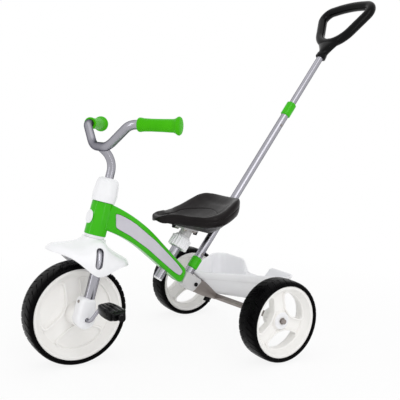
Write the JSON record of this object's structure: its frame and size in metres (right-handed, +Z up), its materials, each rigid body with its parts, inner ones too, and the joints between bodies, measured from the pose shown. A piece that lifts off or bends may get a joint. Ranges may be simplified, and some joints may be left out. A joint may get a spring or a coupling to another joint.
{
  "type": "toddler push-along trike",
  "caption": "Child tricycle with arched beam frame, pedal front wheel, free rear wheels, dished saddle, rear tub and a telescopic parent push pole.",
  "frame": {"origin": "on the ground under the middle of the overall length and width", "axes": "+X to the rear of the trike, +Y to its right, +Z up"},
  "size_m": [1.0158, 0.508, 0.9754],
  "materials": {
    "green_gloss": "gloss",
    "green_grip": "satin",
    "panel_silver": "satin",
    "tube_silver": "satin",
    "bright_steel": "polished",
    "grey_paint": "satin",
    "white_plastic": "gloss",
    "ivory_plastic": "satin",
    "tyre_black": "matte",
    "black_plastic": "satin",
    "saddle_black": "satin"
  },
  "bodies": {
    "frame": {"main_frame": "green_gloss", "side_panel_left": "panel_silver", "side_panel_right": "panel_silver", "head_badge": "white_plastic", "head_bushing_upper": "white_plastic", "head_bushing_lower": "white_plastic", "rear_frame": "grey_paint", "lug_bolt": "bright_steel", "seat_tube": "tube_silver", "seat_tube_plug": "white_plastic", "pole_socket": "tube_silver", "lower_collar": "green_gloss", "rear_tub": "white_plastic", "axle_nuts": "bright_steel"},
    "steering": {"fork": "tube_silver", "fork_end_left": "white_plastic", "fork_end_right": "white_plastic", "fork_screws": "bright_steel", "mudguard": "white_plastic", "boot": "white_plastic", "handlebar": "tube_silver", "grip_left": "green_grip", "grip_right": "green_grip", "axle_bushes": "white_plastic"},
    "front_wheel": {"front_rim": "ivory_plastic", "front_tyre": "tyre_black", "crank_axle": "tube_silver", "pedal_caps": "black_plastic"},
    "left_pedal": {"pedal_left": "black_plastic"},
    "right_pedal": {"pedal_right": "black_plastic"},
    "left_rear_wheel": {"rear_rim_left": "ivory_plastic", "rear_tyre_left": "tyre_black"},
    "right_rear_wheel": {"rear_rim_right": "ivory_plastic", "rear_tyre_right": "tyre_black"},
    "seat": {"saddle": "saddle_black", "saddle_bracket": "grey_paint", "seat_post": "tube_silver", "bracket_bolts": "bright_steel", "saddle_studs": "black_plastic"},
    "seat_clamp": {"seat_clamp_nut": "white_plastic"},
    "pole": {"pole_tube": "tube_silver", "upper_collar": "green_gloss"},
    "handle": {"handle_tube": "tube_silver", "push_handle": "black_plastic"},
    "pole_catch": {"pole_button": "bright_steel"},
    "telescope_catch": {"telescope_button": "bright_steel"},
    "tub_knob": {"tub_screw": "black_plastic"}
  },
  "joints": [
    {"name": "steer", "type": "hinge", "parent": "frame", "child": "steering", "pos_m": [-0.38281, 0, 0.125], "axis": [0.2504, 0, 0.9681], "range_deg": [-40, 40]},
    {"name": "front_wheel_spin", "type": "hinge", "parent": "steering", "child": "front_wheel", "pos_m": [-0.38281, 0, 0.125], "axis": [0, 1, 0], "continuous": true},
    {"name": "left_pedal_spin", "type": "hinge", "parent": "front_wheel", "child": "left_pedal", "pos_m": [-0.35324, -0.14, 0.16024], "axis": [0, 1, 0], "continuous": true},
    {"name": "right_pedal_spin", "type": "hinge", "parent": "front_wheel", "child": "right_pedal", "pos_m": [-0.41237, 0.14, 0.08976], "axis": [0, 1, 0], "continuous": true},
    {"name": "left_rear_wheel_spin", "type": "hinge", "parent": "frame", "child": "left_rear_wheel", "pos_m": [0.07119, -0.224, 0.105], "axis": [0, 1, 0], "continuous": true},
    {"name": "right_rear_wheel_spin", "type": "hinge", "parent": "frame", "child": "right_rear_wheel", "pos_m": [0.07119, 0.224, 0.105], "axis": [0, 1, 0], "continuous": true},
    {"name": "seat_height", "type": "slide", "parent": "frame", "child": "seat", "axis": [0.5736, 0, 0.8192], "range_m": [0, 0.035]},
    {"name": "seat_clamp_turn", "type": "hinge", "parent": "frame", "child": "seat_clamp", "pos_m": [-0.09981, 0, 0.264], "axis": [0.5736, 0, 0.8192], "range_deg": [0, 180]},
    {"name": "pole_lift", "type": "slide", "parent": "frame", "child": "pole", "axis": [0.5835, 0, 0.8121], "range_m": [0, 0.06]},
    {"name": "pole_telescope", "type": "slide", "parent": "pole", "child": "handle", "axis": [0.5835, 0, 0.8121], "range_m": [-0.17, 0]},
    {"name": "pole_catch_press", "type": "slide", "parent": "pole", "child": "pole_catch", "axis": [0, 1, 0], "range_m": [0, 0.0015], "stiffness_N_per_m": 400},
    {"name": "telescope_catch_press", "type": "slide", "parent": "pole", "child": "telescope_catch", "axis": [0, 1, 0], "range_m": [0, 0.0015], "stiffness_N_per_m": 400},
    {"name": "tub_knob_turn", "type": "hinge", "parent": "frame", "child": "tub_knob", "pos_m": [0.00472, 0, 0.11452], "axis": [0.3392, 0, 0.9407], "range_deg": [0, 180]}
  ]
}
